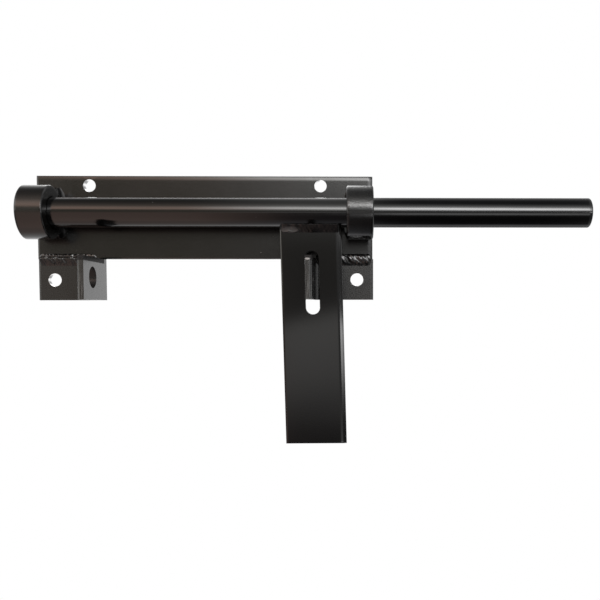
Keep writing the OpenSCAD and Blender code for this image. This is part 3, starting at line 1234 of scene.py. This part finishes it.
@dataclass
class Welds:
    """All the weld beads of the latch, on seams that follow the part's source."""

    ear_r: float = 4.8 * MM
    ear_centre: Pair = (0.8 * MM - EAR_T, PLATE_LOW.z - 0.4 * MM)
    upper_r: float = 5.2 * MM
    lower_r: float = 4.2 * MM
    ring_sink: float = 0.6
    handle_r: float = 3.6 * MM
    handle_out: float = 0.605 * MM
    handle_z: float = -10.4 * MM
    handle_root: float = -9.6 * MM
    bar_gap: float = 0.12 * MM

    def ear_beads(self) -> list[WeldBead]:
        """Lists the beads under the plate's foot.

        Returns:
            A flat, rough left bead and a rope-like right one.
        """
        seam = Seam(self.ear_centre, self.ear_r, PLATE_LOW.y, PLATE_LOW.z, other_face=-EAR_T)
        left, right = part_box("left_ear_weld"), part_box("right_ear_weld")
        return [
            WeldBead(
                "left_ear_bead", "left_ear_weld", Body.BASE, seam, left[0].x, left[1].x,
                crown=1.1 * MM, pitch=4.3 * MM, depth=0.1 * MM, seed=11, slant=2 * MM,
                crescent=1.2 * MM, scallop=0.12, rough=0.25 * MM, grit=0.1 * MM,
                undercut=0.9 * MM),
            WeldBead(
                "right_ear_bead", "right_ear_weld", Body.BASE, seam, right[0].x, right[1].x,
                crown=1.3 * MM, pitch=8 * MM, depth=0.9 * MM, seed=12, slant=-7 * MM,
                crescent=1 * MM, scallop=0.1, fine=0.0, rough=0.2 * MM, swell=0.25)]

    def ring_beads(self) -> list[WeldBead]:
        """Lists the beads over and under the guide rings.

        Returns:
            The four beads.
        """
        made = []
        for side in ("left", "right"):
            for place, up, r, root, crown in (
                    ("upper", 0.85, self.upper_r, 8 * MM, 1.2 * MM),
                    ("lower", -0.72, self.lower_r, -6 * MM, 0.5 * MM)):
                node = f"{side}_ring_{place}_weld"
                centre = (PLATE_LOW.y - self.ring_sink * r, BAR_Z + up * RING_R)
                seam = Seam(centre, r, PLATE_LOW.y, root, round_r=RING_R)
                low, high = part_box(node)
                made.append(WeldBead(
                    f"{side}_ring_{place}_bead", node, Body.BASE, seam, low.x, high.x, crown,
                    pitch=2.6 * MM, depth=0.22 * MM, seed=20 + len(made), slant=-3 * MM,
                    crescent=1.5 * MM))
        return made

    def handle_beads(self) -> list[WeldBead]:
        """Lists the low beads before and behind the handle's top.

        Returns:
            The two beads.
        """
        made = []
        for place, way, face, calm_after in (("front", -1, HANDLE_LOW.y, 12 * MM),
                                             ("rear", 1, HANDLE_HIGH.y, 1.0)):
            node = f"handle_{place}_weld"
            seam = Seam((face + way * self.handle_out, self.handle_z), self.handle_r, face,
                        self.handle_root, BAR_R + self.bar_gap, into=-way, round_sink=0.0)
            low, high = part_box(node)
            made.append(WeldBead(
                f"handle_{place}_bead", node, Body.HANDLE, seam, low.x, high.x,
                crown=0.2 * MM, pitch=6.8 * MM, depth=0.03 * MM, seed=30 + len(made),
                slant=1 * MM, crescent=1.5 * MM, fine=0.0, rough=0.03 * MM, lip=0.75 * MM,
                calm_after=calm_after))
        return made

    def build(self, finishes: Finishes) -> None:
        """Lays every bead.

        Args:
            finishes: The latch's finishes.
        """
        for finish, beads in ((finishes.ear_weld, self.ear_beads()),
                              (finishes.weld, self.ring_beads()),
                              (finishes.handle_weld, self.handle_beads())):
            material = finish.build()
            for bead in beads:
                bead.build(material)


@dataclass(frozen=True)
class Skyline:
    """How bright the studio is at each height, on one side of the latch.

    A stop is (height, brightness) or (height, red, green, blue), with the height in
    degrees from straight ahead: from under the back, through the front, to over the back.
    The skyline takes over from those before it between the two sideways shares of begins.
    """

    BRIGHTEST = 16.0
    LOWEST = -140.0
    HIGHEST = 145.0

    stops: tuple[tuple[float, ...], ...]
    begins: Pair = (0.0, 0.0)

    @classmethod
    def shade(cls, *levels: float) -> tuple:
        """Gives one brightness, or three for red, green and blue, as a colour."""
        return (*(level / cls.BRIGHTEST for level in levels * (3 // len(levels))), 1)

    def ramp(self, g: Graph, height: Socket) -> Socket:
        """Writes the stops as a colour ramp.

        Args:
            g: The graph to write in.
            height: Height as a share of the way from the lowest to the highest.

        Returns:
            The studio's colour at that height.
        """
        node = g.add("ShaderNodeValToRGB", {0: height})
        stops = node.color_ramp.elements
        while len(stops) > 1:
            stops.remove(stops[0])
        for i, (degrees, *levels) in enumerate(self.stops):
            at = (degrees - self.LOWEST) / (self.HIGHEST - self.LOWEST)
            stop = stops[0] if i == 0 else stops.new(at)
            stop.position = at
            stop.color = self.shade(*levels)
        return node.outputs[0]


@dataclass
class Studio:
    """Pale surroundings with a soft, bright band in front, and the camera.

    The skylines run from the left to far on the right, and aside is far on the left.
    Their edges are shares of the way that one looks, sideways, up or back. tilt and
    slope are in degrees of height for a look straight to the side.
    """

    LEFT = Skyline((
        (-130, 1.0), (-113, 0.85, 0.8, 0.77), (-100, 0.75, 0.61, 0.57), (-86, 0.8, 0.63, 0.57),
        (-70, 1.05, 0.77, 0.68), (-55, 1.05, 0.76, 0.66), (-40, 1.0, 0.72, 0.63),
        (-10, 0.95, 0.68, 0.59), (1, 0.55, 0.47, 0.39), (6, 0.42, 0.4, 0.33),
        (10, 0.72, 0.62, 0.5), (15, 2.4, 1.7, 1.38), (20, 3.1, 2.15, 1.75), (26, 2.7, 1.95, 1.6),
        (34, 2.0, 1.5, 1.24), (43, 0.95, 0.78, 0.67), (64, 0.42, 0.36, 0.32),
        (80, 0.27, 0.24, 0.22), (92, 0.16, 0.15, 0.14), (108, 0.2), (125, 0.6, 0.59, 0.58),
        (142, 1.3)))
    MIDDLE = Skyline((
        (-130, 1.2), (-110, 0.9, 0.9, 0.93), (-100, 0.45, 0.45, 0.48), (-60, 0.14, 0.13, 0.14),
        (-37, 0.13, 0.12, 0.13), (-25, 0.17, 0.16, 0.17), (-14, 0.15, 0.14, 0.15),
        (-10, 0.16, 0.15, 0.15), (-8.2, 0.44, 0.43, 0.42), (-5, 0.9, 0.88, 0.86),
        (-0.5, 1.2, 1.18, 1.14), (0.2, 0.26, 0.25, 0.24), (5, 0.28, 0.27, 0.25),
        (9, 1.05, 1.04, 1.0), (14, 2.6, 2.6, 2.5), (18, 5.0, 5.0, 4.9), (23, 9.0, 9.0, 8.8),
        (28, 10.2, 10.1, 9.9), (33, 6.0, 6.0, 5.9), (43, 2.2, 2.2, 2.15), (51, 1.5, 1.5, 1.46),
        (60, 1.0, 1.0, 0.97), (70, 0.7, 0.7, 0.68), (100, 0.55), (120, 1.2, 1.2, 1.18),
        (142, 1.3)), begins=(-0.22, -0.045))
    RIGHT = Skyline((
        (-135, 0.6), (-118, 0.6, 0.6, 0.63), (-105, 0.05, 0.05, 0.055), (-60, 0.02, 0.02, 0.022),
        (-36, 0.03), (-27, 0.17), (-20, 1.5), (-14, 2.3), (-10, 0.7), (-6, 0.4), (1, 0.42),
        (5, 0.5), (9, 1.4), (14, 5.0), (18, 10.0), (23, 15.5), (28, 15.5), (32, 9.0), (38, 3.6),
        (43, 2.2), (51, 1.1), (60, 0.5, 0.5, 0.51), (70, 0.12, 0.12, 0.13),
        (92, 0.1, 0.1, 0.11), (105, 0.22, 0.22, 0.23), (120, 0.35), (142, 0.6)),
        begins=(0.0, 0.07))
    ASIDE = Skyline((
        (-130, 0.6), (-60, 0.35, 0.33, 0.33), (-10, 0.35, 0.32, 0.31), (1, 0.3, 0.28, 0.26),
        (2.5, 2.6, 2.5, 2.3), (7, 2.8, 2.7, 2.5), (12, 2.0, 1.9, 1.8), (20, 3.5, 3.4, 3.3),
        (32, 4.0), (50, 1.5), (80, 0.5), (142, 0.8)), begins=(-0.42, -0.5))
    FAR = Skyline((
        (-130, 1.0), (-60, 0.3), (-20, 0.3), (-9.4, 0.15), (-8.4, 0.35), (-7.3, 0.7),
        (-5.7, 2.0), (-4.1, 5.0), (-2.9, 5.5), (-1.7, 7.5), (-0.6, 7.5), (0.0, 0.4), (6, 0.4),
        (10, 2.0), (16, 6.0), (28, 7.0), (38, 2.5), (60, 0.8), (100, 0.5), (142, 1.0)),
        begins=(0.31, 0.38))
    BEYOND = Skyline((
        (-130, 1.0), (-60, 0.3), (-20, 0.2), (-8, 0.3), (-4.1, 2.4), (-0.6, 3.6), (0.2, 0.3),
        (6, 0.3), (11, 1.0), (20, 2.5), (38, 1.2), (60, 0.6), (142, 1.0)), begins=(0.46, 0.56))

    floor_height: float = -0.45
    reach: float = 6.0
    around: int = 96
    levels: int = 23
    tilt: float = 14.5
    tilt_rise: Pair = (5, 15)
    tilt_end: Pair = (80, 60)
    slope: float = 14.5
    bend: float = 0.015
    drop: float = 1.0
    slope_end: Pair = (4, 2)
    slope_rise: Pair = (-8, -5)
    rear_left: float = 3.6
    rear_right: float = 0.3
    rear_level: float = 1.25
    rear_middle: Pair = (0.0, 0.04)
    rear_aside: Pair = (-0.38, -0.345)
    rear_up: Pair = (0.1, 0.2)
    rear_from: Pair = (0.6, 0.85)
    lens: float = 43.82
    sensor: float = 36.0
    shift: Pair = (-0.1058, 0.0677)
    clip: Pair = (0.01, 50.0)
    right: Triple = (0.99968038, -0.02520859, -0.00191578)
    up: Triple = (0.00304299, 0.04475341, 0.99899343)
    back: Triple = (-0.02509748, -0.99867996, 0.04481582)
    stand: Triple = (0.10847, -0.58296, -0.07061)

    def height(self, g: Graph) -> Socket:
        """Works out how high one looks, with the bright band's tilt and the strip's slope.

        Args:
            g: The graph to write in.

        Returns:
            The height as a share of the way from the lowest to the highest.
        """
        ahead = g.times(g.y, -1.0)
        degrees = g.times(g.math("ARCTAN2", g.z, ahead), 180 / math.pi)
        lift = g.times(g.times(g.x, self.tilt), g.spread(degrees, *self.tilt_rise))
        degrees = g.plus(degrees, g.times(lift, g.spread(degrees, *self.tilt_end)))
        sag = g.times(g.math("MINIMUM", g.plus(g.x, self.bend), 0.0), -self.slope)
        sag = g.times(g.math("MINIMUM", sag, self.drop), g.spread(degrees, *self.slope_end))
        degrees = g.plus(degrees, g.times(sag, g.spread(degrees, *self.slope_rise)))
        return g.math("DIVIDE", g.minus(degrees, Skyline.LOWEST), Skyline.HIGHEST - Skyline.LOWEST)

    def surroundings(self) -> None:
        """Fills the world: a bright band in front, dim below it, white behind the latch."""
        world = bpy.data.worlds.new("studio_air")
        bpy.context.scene.world = world
        world.use_nodes = True
        g = Graph(world.node_tree, "Generated")
        height = self.height(g)
        sky = self.LEFT.ramp(g, height)
        for side in (self.MIDDLE, self.RIGHT, self.ASIDE, self.FAR, self.BEYOND):
            sky = g.mix(g.spread(g.x, *side.begins), sky, side.ramp(g, height))
        left, right, level = (Skyline.shade(share) for share in (
            self.rear_left, self.rear_right, self.rear_level))
        rear = g.mix(g.spread(g.z, *self.rear_up), level, left)
        rear = g.mix(g.spread(g.x, *self.rear_middle), rear, right)
        rear = g.mix(g.spread(g.x, *self.rear_aside), level, rear)
        rear = g.mix(g.spread(g.math("ABSOLUTE", g.z), *self.rear_up), level, rear)
        sky = g.mix(g.spread(g.y, *self.rear_from), sky, rear)
        light = g.add("ShaderNodeBackground", {"Color": sky, "Strength": Skyline.BRIGHTEST})
        g.add("ShaderNodeOutputWorld", {"Surface": light.outputs[0]})

    def glow(self, name: str) -> Material:
        """Makes an even, white surface.

        Args:
            name: The material's name.

        Returns:
            The material.
        """
        material = bpy.data.materials.new(name)
        material.use_nodes = True
        g = Graph(material.node_tree)
        shine = g.add("ShaderNodeEmission", {"Color": (1, 1, 1, 1), "Strength": 1.0})
        g.add("ShaderNodeOutputMaterial", {"Surface": shine.outputs[0]})
        return material

    def stage(self) -> None:
        """Lays the floor and hangs the backdrop around the latch."""
        turn = np.linspace(0, 2 * math.pi, self.around, endpoint=False)
        ring = np.stack([np.cos(turn), np.sin(turn)], 1)
        rim = np.column_stack([self.reach * ring, np.full(self.around, self.floor_height)])
        floor = add_mesh("pale_floor", rim, [tuple(range(self.around))], STAGE_SHARP)
        far = 2 * self.reach
        rows = np.linspace(-0.5, 0.5, self.levels + 2)[1:-1] * math.pi
        shell = [(far * math.cos(a) * x, far * math.cos(a) * y, far * math.sin(a))
                 for a in rows for x, y in ring]
        shell += [(0, 0, -far), (0, 0, far)]
        faces = tube_faces(len(rows), self.around, False)
        backdrop = add_mesh("backdrop", np.array(shell), faces, STAGE_SHARP)
        for piece in (floor, backdrop):
            piece.data.materials.append(self.glow(piece.name))
            piece.visible_diffuse = piece.visible_glossy = False
            piece.visible_transmission = piece.visible_shadow = False

    def camera(self) -> None:
        """Sets the camera where the photograph was taken from."""
        eye = bpy.data.cameras.new("photo_camera")
        eye.sensor_width, eye.lens = self.sensor, self.lens
        eye.shift_x, eye.shift_y = self.shift
        eye.clip_start, eye.clip_end = self.clip
        camera = bpy.data.objects.new("photo_camera", eye)
        pose = Matrix((self.right, self.up, self.back)).transposed().to_4x4()
        pose.translation = self.stand
        camera.matrix_world = pose
        bpy.context.scene.collection.objects.link(camera)
        bpy.context.scene.camera = camera

    def build(self) -> None:
        """Builds the studio."""
        self.surroundings()
        self.stage()
        self.camera()
        bpy.context.scene.view_settings.view_transform = "Standard"


def main() -> None:
    """Builds the latch's looks piece by piece."""
    logging.basicConfig(level=logging.INFO, format="%(name)s: %(message)s")
    finishes = Finishes()
    Studio().build()
    BackPlate().build(finishes)
    PadlockEars().build(finishes)
    SlideBar().build(finishes)
    GuideRing("left_ring", "left_guide_ring", 5).build(finishes.left_ring)
    GuideRing("right_ring", "right_guide_ring", 6).build(finishes.right_ring)
    Handle().build(finishes)
    Welds().build(finishes)


if __name__ == "__main__":
    main()
